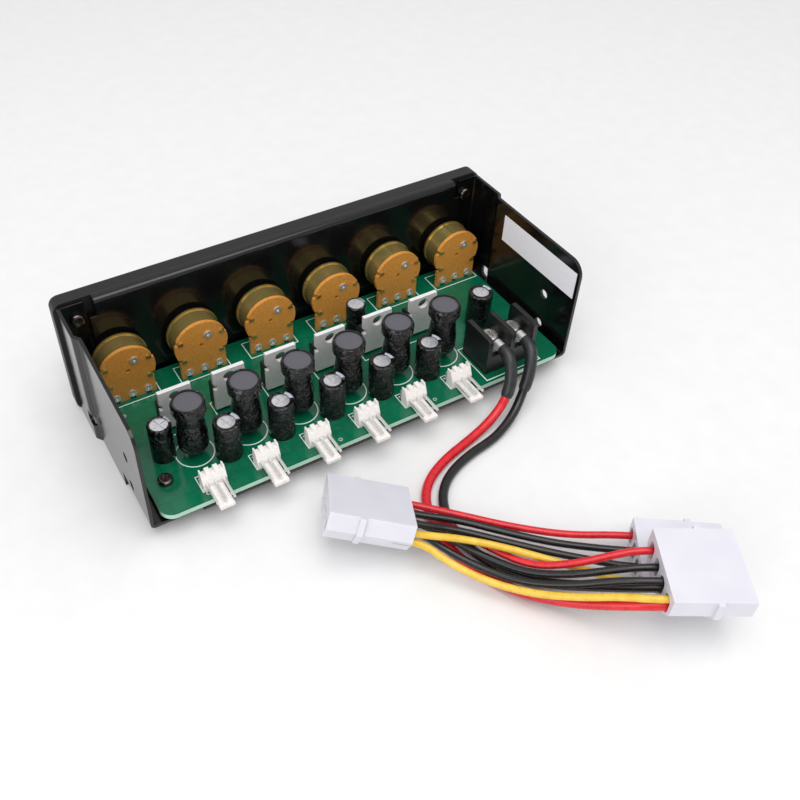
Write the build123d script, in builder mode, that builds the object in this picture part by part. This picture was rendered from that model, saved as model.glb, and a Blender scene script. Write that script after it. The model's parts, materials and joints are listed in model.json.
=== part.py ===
from build123d import *
import os
from math import radians, sqrt, tan

# Fan controller hub for a 5.25 inch drive bay, in millimetres.
# X runs along the width, the knobs face -Y, the open back faces +Y, Z is up.
# The origin is on the table under the middle of the unit.

# Front panel
panel_width = 148.0
panel_height = 42.0
panel_thickness = 5.0
panel_corner_radius = 3.0
panel_edge_radius = 1.0

# Folded steel tray
sheet = 1.0
fold_radius = 1.0
tray_front_width = 146.0
tray_rear_width = 143.0
tray_depth = 58.0
tray_floor_z = 4.6
wall_drop = 1.0
wall_corner_radius = 5.0
skirt_depth = 36.0
jog_start = 14.0
jog_run = 2.0
nut_gap = 2.0
front_wall_inset = 8.4
flange_inset = 10.5
flange_relief = 6.0
front_tab_width = 7.8
lip_inset = 15.0
lip_reach = 0.8
lip_notch_width = 2.5
lip_notch_depth = 3.0
window_length = 4.8
window_height = 4.4
window_depth = 10.9

# Mounting holes in the side walls
mount_hole_d = 3.2
mount_hole_depth = 44.5
mount_hole_height = 9.0
mount_hole_pitch = 11.84

# Screws and spacers
screw_head_d = 4.4
screw_head_h = 1.4
screw_shank_d = 2.9
screw_clearance = 0.15
recess_width = 0.9
recess_depth = 0.8
panel_screw_length = 4.5
panel_screw_inset = 5.0
panel_screw_low = 9.0
panel_screw_drop = 5.6
board_screw_length = 5.4
spacer_d = 6.0
spacer_height = 1.6

# Circuit board
board_thickness = 1.6
board_side_gap = 2.5
board_jog_gap = 4.0
board_front_gap = 1.2
board_overhang = 1.8
board_corner_radius = 4.0
board_screw_inset_x = 5.3
board_screw_inset_y = 12.3
pin_hole_d = 1.3
pin_tail = 1.0

# Pots
pot_count = 6
pot_board_inset = 9.0
nut_tab_gap = 0.4
pot_axis_height = 11.2
pot_shoulder_d = 11.0
pot_shoulder_length = 1.6
can_d = 16.6
can_rim_d = 17.2
can_rim_length = 0.7
can_length = 6.4
can_wall = 0.6
can_front = 1.0
bushing_d = 7.0
bushing_length = 5.0
bushing_hole_clearance = 0.1
panel_bushing_clearance = 0.4
nut_across_flats = 10.0
nut_height = 1.9
plate_d = 17.2
plate_foot_width = 15.0
plate_thickness = 1.2
plate_notch_height = 1.5
plate_hole_d = 1.2
tab_width = 1.1
tab_thickness = 0.45
tab_fold = 1.6
upper_tab_x = 7.35
upper_tab_z = 3.0
lower_tab_x = 6.85
lower_tab_z = -4.1
terminal_pitch = 5.0
terminal_drop = 9.1
eyelet_d = 2.5
eyelet_height = 0.4
eyelet_hole_d = 1.0
terminal_shank_d = 1.2
terminal_strip_width = 1.0
terminal_strip_thickness = 0.5
wiper_x = -2.3
wiper_z = 3.5

# Shafts and knobs
shaft_d = 6.0
shaft_clearance = 0.05
shaft_flat = 1.0
rotor_d = 12.0
rotor_thickness = 1.5
rotor_gap = 0.3
knob_d = 17.0
knob_front_d = 15.6
knob_length = 14.0
knob_gap = 0.6
knob_bore_depth = 11.0
knob_flutes = 12
knob_flute_d = 2.4
knob_mark_width = 1.2
knob_mark_depth = 0.8
knob_edge_radius = 0.8

# Rows of board parts, measured from the board's back edge and its two ends
channel_count = 6
channel_first_inset = 16.65
channel_last_inset = 34.85

# Power transistors
transistor_row = 29.3
tab_plate_width = 10.0
tab_plate_height = 14.6
tab_plate_thickness = 1.3
tab_hole_d = 3.7
tab_hole_drop = 2.8
tab_notch = 0.9
tab_notch_drop = 5.6
transistor_stand = 1.3
transistor_body_height = 9.2
transistor_body_thickness = 3.2
transistor_lead_pitch = 2.54
transistor_lead_width = 0.8
transistor_lead_thickness = 0.5

# Chokes
choke_row = 18.2
choke_stand = 3.5
choke_height = 17.5
choke_top_d = 9.9
choke_waist_d = 7.8
choke_base_d = 9.0
choke_sleeve = 0.4
choke_core_gap = 0.1
choke_opening_d = 8.0
choke_lead_d = 0.8
choke_lead_pitch = 5.0

# Capacitors
choke_capacitor_gap = 0.74
capacitor_offset = 0.15
capacitor_d = 8.0
capacitor_height = 13.0
capacitor_sleeve = 0.3
capacitor_gap = 0.08
capacitor_opening_d = 5.2
capacitor_vent_width = 0.35
capacitor_vent_depth = 0.25
slim_capacitor_d = 6.4
slim_capacitor_height = 15.2
side_capacitor_d = 7.0
side_capacitor_height = 13.0
side_capacitor_inset = 8.5
side_capacitor_row = 21.4
end_capacitor_inset = 15.2
end_capacitor_row = 25.4
slim_capacitor_shift = 3.05
slim_capacitor_row = 37.7

# Fan headers
header_first_inset = 16.6
header_last_inset = 36.9
header_row = 6.4
header_width = 7.2
header_depth = 3.2
header_height = 6.2
header_slope_height = 3.4
header_slope = 1.4
header_notch_width = 1.2
header_notch_depth = 1.0
header_pin_pitch = 2.54
header_pin = 0.64
header_pin_height = 2.8
header_pin_reach = 7.4
header_pin_back = 1.6
header_tongue_width = 4.4
header_tongue_reach = 8.2
header_tongue_height = 0.4
header_tongue_thickness = 1.1

# Terminal block
block_inset = 18.4
block_row = 3.5
block_pitch = 8.5
block_depth = 12.3
block_base_height = 6.7
block_fin_height = 6.8
block_fin_thickness = 1.6
block_fin_radius = 1.0
block_plate_width = 6.4
block_plate_length = 9.0
block_plate_thickness = 0.8
block_screw_d = 3.1
block_screw_head_d = 5.6
block_screw_head_h = 2.0
block_screw_length = 5.0

# Ring lugs on the supply leads
lug_ring_d = 5.8
lug_thickness = 0.8
lug_barrel_d = 3.2
lug_barrel_start = 3.6
lug_barrel_length = 3.05
lug_neck_width = 2.8

# Label inside the wall
label_length = 36.0
label_height = 9.6
label_thickness = 0.15
label_back_gap = 1.2
label_drop = 3.7

# Nylon plugs
plug_width = 20.4
plug_height = 9.6
plug_bevel_width = 3.6
plug_bevel_height = 4.4
plug_length = 23.0
plug_pitch = 5.08
plug_cavity_width = 3.3
plug_cavity_height = 5.2
plug_cavity_depth = 5.0
plug_socket_d = 3.6
plug_socket_depth = 12.0
plug_rib_width = 1.6
plug_rib_reach = 0.9
plug_rib_from_end = 9.6
supply_width = 21.6
supply_height = 10.2
supply_length = 20.0
supply_wall = 1.2
supply_pocket_depth = 10.0
supply_cavity_height = 5.6
supply_pin_d = 2.1
supply_pin_length = 8.0

# Cords
wire_d = 2.0
lead_d = 2.8
sleeve_d = 3.8
bend_share = 0.45

# Places that follow from the sizes above
front_reach = panel_thickness + knob_gap + knob_length
board_back = tray_depth + board_overhang
rear_reach = board_back - header_row + header_depth + header_tongue_reach
panel_back = (front_reach - rear_reach) / 2
wall_top = panel_height - wall_drop
front_wall_y = panel_back + nut_gap
pot_face_y = front_wall_y + sheet
tray_floor_top = tray_floor_z + sheet
board_z = tray_floor_top + spacer_height
board_top = board_z + board_thickness
front_wall_width = tray_front_width - 2 * front_wall_inset
lip_width = tray_rear_width - 2 * lip_inset
rear_room = tray_rear_width - 2 * sheet - 2 * board_side_gap
jog_room = tray_front_width - 2 * sheet - 2 * board_jog_gap
board_width = min(rear_room, jog_room)
board_end_x = board_width / 2
board_front_y = pot_face_y + board_front_gap
board_back_y = panel_back + board_back
board_length = board_back_y - board_front_y
pin_end_z = board_z - pin_tail
pot_axis_z = board_top + pot_axis_height
nut_end_x = tray_front_width / 2 - front_tab_width - nut_tab_gap - nut_across_flats / sqrt(3)
pot_end_x = min(board_end_x - pot_board_inset, nut_end_x)
pot_pitch = 2 * pot_end_x / (pot_count - 1)
pot_x = [pot_pitch * i - pot_end_x for i in range(pot_count)]
can_front_y = pot_face_y + pot_shoulder_length
plate_y = can_front_y + can_length
plate_back_y = plate_y + plate_thickness
knob_back_y = panel_back - panel_thickness - knob_gap
shaft_front_y = knob_back_y - knob_bore_depth
screw_x = tray_front_width / 2 - panel_screw_inset
panel_screw_high = wall_top - panel_screw_drop
board_screw_x = board_end_x - board_screw_inset_x
board_screw_y = board_back_y - board_screw_inset_y
channel_pitch = (board_width - channel_first_inset - channel_last_inset) / (channel_count - 1)
channel_x = [board_end_x - channel_first_inset - channel_pitch * i for i in range(channel_count)]
header_pitch = (board_width - header_first_inset - header_last_inset) / (channel_count - 1)
header_x = [board_end_x - header_first_inset - header_pitch * i for i in range(channel_count)]
transistor_y = board_back_y - transistor_row
choke_y = board_back_y - choke_row
capacitor_apart = choke_top_d / 2 + capacitor_d / 2 + choke_capacitor_gap
capacitor_aside = channel_pitch / 2 - capacitor_offset
capacitor_y = choke_y + sqrt(max(0, capacitor_apart**2 - capacitor_aside**2))
header_front_y = board_back_y - header_row
header_back_y = header_front_y + header_depth
block_x = block_inset - board_end_x
block_back_y = board_back_y - block_row
block_y = block_back_y - block_depth / 2
block_floor_z = board_top + block_base_height
lug_z = block_floor_z + block_plate_thickness
lug_axis_z = lug_z + lug_barrel_d / 2 + 0.1
lug_end_y = block_y + lug_barrel_start + lug_barrel_length
wall_inner = tray_rear_width / 2 - sheet

os.makedirs("parts", exist_ok=True)


def bend_radii(points):
    """Radius of the arc at each inner point of a cord's route."""
    radii = []
    for before, here, after in zip(points, points[1:], points[2:]):
        run_in = Vector(*here) - Vector(*before)
        run_out = Vector(*after) - Vector(*here)
        half_turn = radians(run_in.get_angle(run_out)) / 2
        shorter = min(run_in.length, run_out.length)
        radii.append(bend_share * shorter / tan(half_turn))
    return radii


# Tray: the two side walls with their front tabs, folded in plan
with BuildPart() as chassis_tray:
    for side in (1, -1):
        outer = tray_front_width / 2 - sheet / 2
        inner = tray_rear_width / 2 - sheet / 2
        with BuildSketch(Plane.XY):
            with BuildLine():
                FilletPolyline(
                    (side * (tray_front_width / 2 - front_tab_width), panel_back + sheet / 2),
                    (side * outer, panel_back + sheet / 2),
                    (side * outer, panel_back + jog_start),
                    (side * inner, panel_back + jog_start + jog_run),
                    (side * inner, panel_back + tray_depth),
                    radius=fold_radius,
                )
            trace(line_width=sheet)
        extrude(amount=wall_top)
    back_edges = chassis_tray.edges().filter_by(Axis.X).group_by(Axis.Y)[-1]
    fillet(back_edges.group_by(Axis.Z)[-1], wall_corner_radius)
    # Behind the skirts the walls stop at the fold of the floor
    fold_room = fold_radius + sheet
    with Locations((0, panel_back + skirt_depth, 0)):
        Box(
            max(tray_front_width, tray_rear_width) + sheet,
            tray_depth,
            tray_floor_z + fold_room,
            align=(Align.CENTER, Align.MIN, Align.MIN),
            mode=Mode.SUBTRACT,
        )
    with BuildSketch(Plane.XZ.offset(-(panel_back + tray_depth))):
        with BuildLine():
            FilletPolyline(
                (-inner, tray_floor_z + fold_room + sheet),
                (-inner, tray_floor_z + sheet / 2),
                (inner, tray_floor_z + sheet / 2),
                (inner, tray_floor_z + fold_room + sheet),
                radius=fold_radius,
            )
        trace(line_width=sheet)
    extrude(amount=tray_depth - skirt_depth)
    # Floor, front wall and top flange: one strip folded across the width
    with BuildSketch(Plane.YZ.offset(-front_wall_width / 2)):
        with BuildLine():
            FilletPolyline(
                (panel_back, panel_height - sheet / 2),
                (front_wall_y + sheet / 2, panel_height - sheet / 2),
                (front_wall_y + sheet / 2, tray_floor_z + sheet / 2),
                (panel_back + tray_depth, tray_floor_z + sheet / 2),
                radius=fold_radius,
            )
        trace(line_width=sheet)
    extrude(amount=front_wall_width)
    # The top flange is shorter than the wall, with a relief at each end
    for side in (1, -1):
        with Locations((side * front_wall_width / 2, panel_back, panel_height)):
            Box(
                flange_inset - front_wall_inset,
                nut_gap + fold_room,
                flange_relief,
                align=(Align.MAX if side > 0 else Align.MIN, Align.MIN, Align.MAX),
                mode=Mode.SUBTRACT,
            )
    # Back lip between two relief notches
    with Locations((0, panel_back + tray_depth + lip_reach, tray_floor_z)):
        Box(lip_width, lip_notch_depth, sheet, align=(Align.CENTER, Align.MAX, Align.MIN))
    lip_notch_x = lip_width / 2 + lip_notch_width / 2
    with Locations(
        (lip_notch_x, panel_back + tray_depth, tray_floor_top),
        (-lip_notch_x, panel_back + tray_depth, tray_floor_top),
    ):
        Box(lip_notch_width, 2 * lip_notch_depth, 3 * sheet, mode=Mode.SUBTRACT)
    # Relief windows at the foot of the jogs and the mounting holes
    with BuildSketch(Plane.YZ):
        with Locations((panel_back + window_depth, tray_floor_top + 0.2)):
            RectangleRounded(
                window_length,
                window_height,
                window_height / 3,
                align=(Align.MIN, Align.MIN),
            )
        hole_y = panel_back + mount_hole_depth
        with Locations((hole_y, mount_hole_height), (hole_y, mount_hole_height + mount_hole_pitch)):
            Circle(mount_hole_d / 2)
    extrude(amount=panel_width, both=True, mode=Mode.SUBTRACT)
    # Pot holes in the front wall
    with BuildSketch(Plane.XZ.offset(-front_wall_y)):
        with Locations(*[(x, pot_axis_z) for x in pot_x]):
            Circle(bushing_d / 2 + bushing_hole_clearance)
    extrude(amount=2 * sheet, both=True, mode=Mode.SUBTRACT)
    # Screw holes in the front tabs and in the floor
    with BuildSketch(Plane.XZ.offset(-panel_back)):
        with Locations(
            (screw_x, panel_screw_low),
            (screw_x, panel_screw_high),
            (-screw_x, panel_screw_low),
            (-screw_x, panel_screw_high),
        ):
            Circle(screw_shank_d / 2 + screw_clearance)
    extrude(amount=-2 * sheet, mode=Mode.SUBTRACT)
    with BuildSketch(Plane.XY.offset(tray_floor_z)):
        with Locations((board_screw_x, board_screw_y), (-board_screw_x, board_screw_y)):
            Circle(screw_shank_d / 2 + screw_clearance)
    extrude(amount=sheet, mode=Mode.SUBTRACT)
chassis_tray.part.label = "chassis_tray"
export_step(chassis_tray.part, "parts/chassis_tray.step")

# Front panel with pot holes and blind screw holes
with BuildPart() as front_panel:
    with BuildSketch(Plane.XZ.offset(-panel_back)):
        with Locations((0, panel_height / 2)):
            RectangleRounded(panel_width, panel_height, panel_corner_radius)
    extrude(amount=panel_thickness)
    fillet(front_panel.faces().sort_by(Axis.Y)[0].edges(), panel_edge_radius)
    with BuildSketch(Plane.XZ.offset(-panel_back)):
        with Locations(*[(x, pot_axis_z) for x in pot_x]):
            Circle(bushing_d / 2 + panel_bushing_clearance)
    extrude(amount=panel_thickness, mode=Mode.SUBTRACT)
    with BuildSketch(Plane.XZ.offset(-panel_back)):
        with Locations(
            (screw_x, panel_screw_low),
            (screw_x, panel_screw_high),
            (-screw_x, panel_screw_low),
            (-screw_x, panel_screw_high),
        ):
            Circle(screw_shank_d / 2 + screw_clearance)
    extrude(amount=panel_screw_length - sheet + screw_clearance, mode=Mode.SUBTRACT)
front_panel.part.label = "front_panel"
export_step(front_panel.part, "parts/front_panel.step")

# One cross-head screw, head up, seated at its own origin
with BuildPart() as screw_shape:
    Cylinder(screw_head_d / 2, screw_head_h, align=(Align.CENTER, Align.CENTER, Align.MIN))
    fillet(screw_shape.edges().sort_by(Axis.Z)[-1], screw_head_h / 2)
    with Locations((0, 0, screw_head_h)):
        Box(recess_width, screw_head_d / 2, 2 * recess_depth, mode=Mode.SUBTRACT)
        Box(screw_head_d / 2, recess_width, 2 * recess_depth, mode=Mode.SUBTRACT)

with BuildPart() as panel_screws:
    for x in (screw_x, -screw_x):
        for z in (panel_screw_low, panel_screw_high):
            place = Plane(origin=(x, panel_back + sheet, z), x_dir=(1, 0, 0), z_dir=(0, 1, 0))
            with Locations(place):
                add(screw_shape.part)
                Cylinder(
                    screw_shank_d / 2,
                    panel_screw_length,
                    align=(Align.CENTER, Align.CENTER, Align.MAX),
                )
panel_screws.part.label = "panel_screws"
export_step(panel_screws.part, "parts/panel_screws.step")

with BuildPart() as board_screws:
    with Locations((board_screw_x, board_screw_y, board_top), (-board_screw_x, board_screw_y, board_top)):
        add(screw_shape.part)
        Cylinder(
            screw_shank_d / 2,
            board_screw_length,
            align=(Align.CENTER, Align.CENTER, Align.MAX),
        )
board_screws.part.label = "board_screws"
export_step(board_screws.part, "parts/board_screws.step")

with BuildPart() as board_spacers:
    with BuildSketch(Plane.XY.offset(tray_floor_top)):
        with Locations((board_screw_x, board_screw_y), (-board_screw_x, board_screw_y)):
            Circle(spacer_d / 2)
            Circle(screw_shank_d / 2 + screw_clearance, mode=Mode.SUBTRACT)
    extrude(amount=spacer_height)
board_spacers.part.label = "board_spacers"
export_step(board_spacers.part, "parts/board_spacers.step")

# Circuit board with the holes that its parts need
terminal_x = [x + terminal_pitch * k for x in pot_x for k in (-1, 0, 1)]
terminal_strip_y = plate_y - terminal_strip_thickness / 2
transistor_tab_y = transistor_y - tab_plate_thickness
transistor_lead_y = transistor_tab_y - transistor_body_thickness / 2
transistor_lead_x = [x + transistor_lead_pitch * k for x in channel_x for k in (-1, 0, 1)]
choke_lead_x = [x + choke_lead_pitch * k / 2 for x in channel_x for k in (-1, 1)]
header_pin_x = [x + header_pin_pitch * k for x in header_x for k in (-1, 0, 1)]
header_pin_y = header_front_y - header_pin_back + header_pin / 2
with BuildPart() as circuit_board:
    with BuildSketch(Plane.XY.offset(board_z)) as outline:
        with Locations((0, board_front_y)):
            Rectangle(board_width, board_length, align=(Align.CENTER, Align.MIN))
        fillet(outline.vertices().group_by(Axis.Y)[-1], board_corner_radius)
        with Locations((board_screw_x, board_screw_y), (-board_screw_x, board_screw_y)):
            Circle(screw_shank_d / 2 + screw_clearance, mode=Mode.SUBTRACT)
        with Locations(*[(x, terminal_strip_y) for x in terminal_x]):
            Circle(pin_hole_d / 2, mode=Mode.SUBTRACT)
        with Locations(*[(x, transistor_lead_y) for x in transistor_lead_x]):
            Circle(pin_hole_d / 2, mode=Mode.SUBTRACT)
        with Locations(*[(x, choke_y) for x in choke_lead_x]):
            Circle(pin_hole_d / 2, mode=Mode.SUBTRACT)
        with Locations(*[(x, header_pin_y) for x in header_pin_x]):
            Circle(pin_hole_d / 2, mode=Mode.SUBTRACT)
    extrude(amount=board_thickness)
circuit_board.part.label = "circuit_board"
export_step(circuit_board.part, "parts/circuit_board.step")

# Nuts on the pots' bushings, between the front wall and the panel
with BuildPart() as pot_nuts:
    with BuildSketch(Plane.XZ.offset(-front_wall_y)):
        with Locations(*[(x, pot_axis_z) for x in pot_x]):
            RegularPolygon(nut_across_flats / 2, 6, major_radius=False, rotation=30)
            Circle(bushing_d / 2 + shaft_clearance, mode=Mode.SUBTRACT)
    extrude(amount=nut_height)
pot_nuts.part.label = "pot_nuts"
export_step(pot_nuts.part, "parts/pot_nuts.step")

# Pot cans: shoulder, rim, bushing and the folded tabs that hold the plate
tab_places = [
    (upper_tab_x, upper_tab_z),
    (-upper_tab_x, upper_tab_z),
    (lower_tab_x, lower_tab_z),
    (-lower_tab_x, lower_tab_z),
]
for number, x in enumerate(pot_x, start=1):
    axis = Plane(origin=(x, 0, pot_axis_z), x_dir=(1, 0, 0), z_dir=(0, 1, 0))
    with BuildPart() as pot_can:
        with BuildSketch(axis.offset(pot_face_y)):
            Circle(pot_shoulder_d / 2)
        extrude(amount=pot_shoulder_length)
        with BuildSketch(axis.offset(can_front_y)):
            Circle(can_rim_d / 2)
        extrude(amount=can_rim_length)
        with BuildSketch(axis.offset(can_front_y)):
            Circle(can_d / 2)
        extrude(amount=can_length)
        with BuildSketch(axis.offset(can_front_y + can_front)):
            Circle(can_d / 2 - can_wall)
        extrude(amount=can_length - can_front, mode=Mode.SUBTRACT)
        with BuildSketch(axis.offset(pot_face_y)):
            Circle(bushing_d / 2)
        extrude(amount=-bushing_length)
        with BuildSketch(axis.offset(pot_face_y - bushing_length)):
            Circle(shaft_d / 2 + shaft_clearance)
        extrude(
            amount=bushing_length + pot_shoulder_length + can_front,
            mode=Mode.SUBTRACT,
        )
        for tab_x, tab_z in tab_places:
            side = 1 if tab_x > 0 else -1
            with Locations((x + tab_x, plate_y - 1, pot_axis_z + tab_z)):
                Box(
                    tab_thickness,
                    1 + plate_thickness + tab_thickness,
                    tab_width,
                    align=(Align.CENTER, Align.MIN, Align.CENTER),
                )
            with Locations((x + tab_x + side * tab_thickness / 2, plate_back_y, pot_axis_z + tab_z)):
                Box(
                    tab_fold,
                    tab_thickness,
                    tab_width,
                    align=(Align.MAX if side > 0 else Align.MIN, Align.MIN, Align.CENTER),
                )
    pot_can.part.label = f"pot_can_{number}"
    export_step(pot_can.part, f"parts/pot_can_{number}.step")

# Phenolic plates: round top, straight foot on the board, notches for the can's tabs
with BuildPart() as pot_plates:
    with BuildSketch(Plane.XZ.offset(-plate_y)):
        with Locations(*[(x, pot_axis_z) for x in pot_x]):
            Circle(plate_d / 2)
        with Locations(*[(x, board_top) for x in pot_x]):
            Rectangle(plate_foot_width, pot_axis_height, align=(Align.CENTER, Align.MIN))
        for tab_x, tab_z in tab_places:
            side = 1 if tab_x > 0 else -1
            notch_inner = tab_x - side * tab_thickness
            with Locations(*[(x + notch_inner, pot_axis_z + tab_z) for x in pot_x]):
                Rectangle(
                    plate_d / 2 - abs(notch_inner) + 1,
                    plate_notch_height,
                    align=(Align.MIN if side > 0 else Align.MAX, Align.CENTER),
                    mode=Mode.SUBTRACT,
                )
        with Locations(*[(x, pot_axis_z) for x in pot_x]):
            Circle(plate_hole_d / 2, mode=Mode.SUBTRACT)
        with Locations(*[(x, pot_axis_z - terminal_drop) for x in terminal_x]):
            Circle(terminal_shank_d / 2 + shaft_clearance, mode=Mode.SUBTRACT)
        with Locations(*[(x + wiper_x, pot_axis_z + wiper_z) for x in pot_x]):
            Circle(terminal_shank_d / 2 + shaft_clearance, mode=Mode.SUBTRACT)
        with Locations(*[(x, board_top) for x in terminal_x]):
            Rectangle(
                1.6 * terminal_strip_width,
                0.8 * terminal_strip_width,
                align=(Align.CENTER, Align.MIN),
                mode=Mode.SUBTRACT,
            )
    extrude(amount=-plate_thickness)
pot_plates.part.label = "pot_plates"
export_step(pot_plates.part, "parts/pot_plates.step")

# Eyelets with their pins, and the wiper rivets
with BuildPart() as pot_terminals:
    rivet_places = [(x, pot_axis_z - terminal_drop) for x in terminal_x]
    rivet_places += [(x + wiper_x, pot_axis_z + wiper_z) for x in pot_x]
    with BuildSketch(Plane.XZ.offset(-plate_y)):
        with Locations(*rivet_places):
            Circle(terminal_shank_d / 2)
    extrude(amount=-plate_thickness)
    with BuildSketch(Plane.XZ.offset(-plate_back_y)):
        with Locations(*rivet_places):
            Circle(eyelet_d / 2)
            Circle(eyelet_hole_d / 2, mode=Mode.SUBTRACT)
    extrude(amount=-eyelet_height)
    with BuildSketch(Plane.XZ.offset(-plate_y)):
        strip_top = pot_axis_z - terminal_drop + terminal_shank_d / 2
        with Locations(*[(x, strip_top) for x in terminal_x]):
            Rectangle(
                terminal_strip_width,
                strip_top - pin_end_z,
                align=(Align.CENTER, Align.MAX),
            )
    extrude(amount=terminal_strip_thickness)
pot_terminals.part.label = "pot_terminals"
export_step(pot_terminals.part, "parts/pot_terminals.step")

# Shafts with a flat for the knob and a rotor disc inside the can
for number, x in enumerate(pot_x, start=1):
    axis = Plane(origin=(x, 0, pot_axis_z), x_dir=(1, 0, 0), z_dir=(0, 1, 0))
    rotor_y = can_front_y + can_front + rotor_gap
    with BuildPart() as pot_shaft:
        with BuildSketch(axis.offset(shaft_front_y)):
            Circle(shaft_d / 2)
        extrude(amount=plate_y - rotor_gap - shaft_front_y)
        with BuildSketch(axis.offset(rotor_y)):
            Circle(rotor_d / 2)
        extrude(amount=rotor_thickness)
        with Locations((x, shaft_front_y, pot_axis_z - shaft_d / 2)):
            Box(
                shaft_d,
                knob_bore_depth,
                shaft_flat,
                align=(Align.CENTER, Align.MIN, Align.MIN),
                mode=Mode.SUBTRACT,
            )
    pot_shaft.part.label = f"pot_shaft_{number}"
    export_step(pot_shaft.part, f"parts/pot_shaft_{number}.step")

# Fluted push-on knobs with a pointer groove and a bore that fits the shaft's flat
for number, x in enumerate(pot_x, start=1):
    axis = Plane(origin=(x, 0, pot_axis_z), x_dir=(1, 0, 0), z_dir=(0, -1, 0))
    with BuildPart() as knob:
        with BuildSketch(axis.offset(-knob_back_y)):
            Circle(knob_d / 2)
        with BuildSketch(axis.offset(-knob_back_y + knob_length)):
            Circle(knob_front_d / 2)
        loft()
        fillet(knob.edges().sort_by(Axis.Y)[0], knob_edge_radius)
        with BuildSketch(axis.offset(-knob_back_y)):
            with PolarLocations(knob_d / 2 + knob_flute_d / 4, knob_flutes):
                Circle(knob_flute_d / 2)
        extrude(amount=knob_length, mode=Mode.SUBTRACT)
        with Locations((x, knob_back_y - knob_length, pot_axis_z)):
            Box(
                knob_mark_width,
                2 * knob_mark_depth,
                knob_front_d / 2,
                align=(Align.CENTER, Align.CENTER, Align.MIN),
                mode=Mode.SUBTRACT,
            )
        with BuildSketch(axis.offset(-knob_back_y)) as bore:
            Circle(shaft_d / 2 + shaft_clearance)
            with Locations((0, -shaft_d / 2 - shaft_clearance)):
                Rectangle(
                    shaft_d + 1,
                    shaft_flat,
                    align=(Align.CENTER, Align.MIN),
                    mode=Mode.SUBTRACT,
                )
        extrude(amount=knob_bore_depth, mode=Mode.SUBTRACT)
    knob.part.label = f"knob_{number}"
    export_step(knob.part, f"parts/knob_{number}.step")

# Power transistors: metal tabs with hole and side notches
tab_top_z = board_top + transistor_stand + tab_plate_height
with BuildPart() as transistor_tabs:
    with BuildSketch(Plane.XZ.offset(-transistor_y)):
        with Locations(*[(x, tab_top_z) for x in channel_x]):
            Rectangle(tab_plate_width, tab_plate_height, align=(Align.CENTER, Align.MAX))
        with Locations(*[(x, tab_top_z - tab_hole_drop) for x in channel_x]):
            Circle(tab_hole_d / 2, mode=Mode.SUBTRACT)
        for side in (1, -1):
            notch_x = side * tab_plate_width / 2
            with Locations(*[(x + notch_x, tab_top_z - tab_notch_drop) for x in channel_x]):
                Rectangle(2 * tab_notch, 2 * tab_notch, mode=Mode.SUBTRACT)
    extrude(amount=tab_plate_thickness)
transistor_tabs.part.label = "transistor_tabs"
export_step(transistor_tabs.part, "parts/transistor_tabs.step")

with BuildPart() as transistor_bodies:
    with Locations(*[(x, transistor_tab_y, board_top + transistor_stand) for x in channel_x]):
        Box(
            tab_plate_width,
            transistor_body_thickness,
            transistor_body_height,
            align=(Align.CENTER, Align.MAX, Align.MIN),
        )
    front_edges = transistor_bodies.edges().filter_by(Axis.X).group_by(Axis.Y)[0]
    chamfer(front_edges.group_by(Axis.Z)[-1], transistor_body_thickness / 4)
transistor_bodies.part.label = "transistor_bodies"
export_step(transistor_bodies.part, "parts/transistor_bodies.step")

with BuildPart() as transistor_leads:
    with Locations(*[(x, transistor_lead_y, board_top + transistor_stand) for x in transistor_lead_x]):
        Box(
            transistor_lead_width,
            transistor_lead_thickness,
            board_top + transistor_stand - pin_end_z,
            align=(Align.CENTER, Align.CENTER, Align.MAX),
        )
transistor_leads.part.label = "transistor_leads"
export_step(transistor_leads.part, "parts/transistor_leads.step")

# Chokes: a drum core in a shrunk sleeve that follows its waist
choke_z = board_top + choke_stand
choke_levels = [0.0, 0.06, 0.30, 0.60, 0.74, 0.80, 0.95, 1.0]
choke_diameters = [
    choke_base_d - 2 * choke_sleeve,
    choke_base_d,
    choke_base_d,
    choke_waist_d,
    choke_waist_d,
    choke_top_d,
    choke_top_d,
    choke_top_d - 2 * choke_sleeve,
]
choke_lip_z = choke_z + choke_height - choke_sleeve
with BuildPart() as choke_sleeve_shape:
    with BuildSketch(Plane.XZ):
        with BuildLine():
            outer_line = [
                (d / 2, choke_z + choke_height * level)
                for level, d in zip(choke_levels, choke_diameters)
            ]
            inner_line = [
                (d / 2 - choke_sleeve, choke_z + choke_height * level)
                for level, d in zip(choke_levels[:-2], choke_diameters[:-2])
            ]
            inner_top = (choke_top_d / 2 - choke_sleeve, choke_lip_z)
            Polyline(
                *inner_line,
                inner_top,
                (choke_opening_d / 2, choke_lip_z),
                (choke_opening_d / 2, choke_z + choke_height),
                *reversed(outer_line),
                close=True,
            )
        make_face()
    revolve(axis=Axis.Z)
with BuildPart() as choke_sleeves:
    with Locations(*[(x, choke_y, 0) for x in channel_x]):
        add(choke_sleeve_shape.part)
choke_sleeves.part.label = "choke_sleeves"
export_step(choke_sleeves.part, "parts/choke_sleeves.step")

core_base_z = choke_z + choke_core_gap
with BuildPart() as choke_core_shape:
    with BuildSketch(Plane.XZ):
        with BuildLine():
            core_line = [
                (d / 2 - choke_sleeve - choke_core_gap, choke_z + choke_height * level)
                for level, d in zip(choke_levels[:-2], choke_diameters[:-2])
            ]
            core_top_r = choke_top_d / 2 - choke_sleeve - choke_core_gap
            Polyline(
                (0, choke_z),
                *core_line,
                (core_top_r, choke_lip_z),
                (0, choke_lip_z),
                close=True,
            )
        make_face()
    revolve(axis=Axis.Z)
with BuildPart() as choke_cores:
    with Locations(*[(x, choke_y, 0) for x in channel_x]):
        add(choke_core_shape.part)
choke_cores.part.label = "choke_cores"
export_step(choke_cores.part, "parts/choke_cores.step")

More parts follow.
